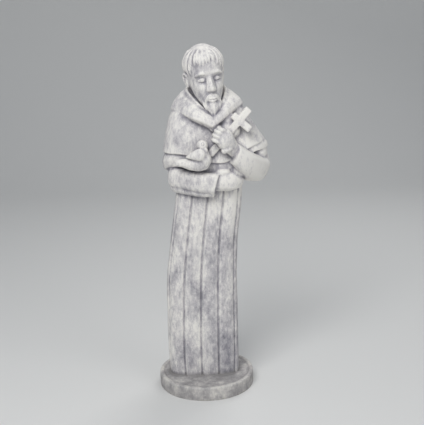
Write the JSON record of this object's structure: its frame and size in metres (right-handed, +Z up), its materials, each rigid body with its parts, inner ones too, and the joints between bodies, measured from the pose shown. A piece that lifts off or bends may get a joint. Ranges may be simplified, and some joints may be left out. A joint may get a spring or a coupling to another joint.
{
  "type": "saint francis statue",
  "caption": "Cast stone garden statue of a standing robed friar with a bird and a small cross, on a round base.",
  "frame": {"origin": "middle of the round base on its underside", "axes": "+Z up from the underside to the crown of the head, -Y the way the figure faces, +X towards the figure's left elbow"},
  "size_m": [0.203, 0.17, 0.6093],
  "materials": {
    "cast_stone": "matt cast stone with a blue-grey wash in its recesses"
  },
  "bodies": {
    "root": {"saint_francis_statue": "cast_stone"}
  },
  "joints": []
}
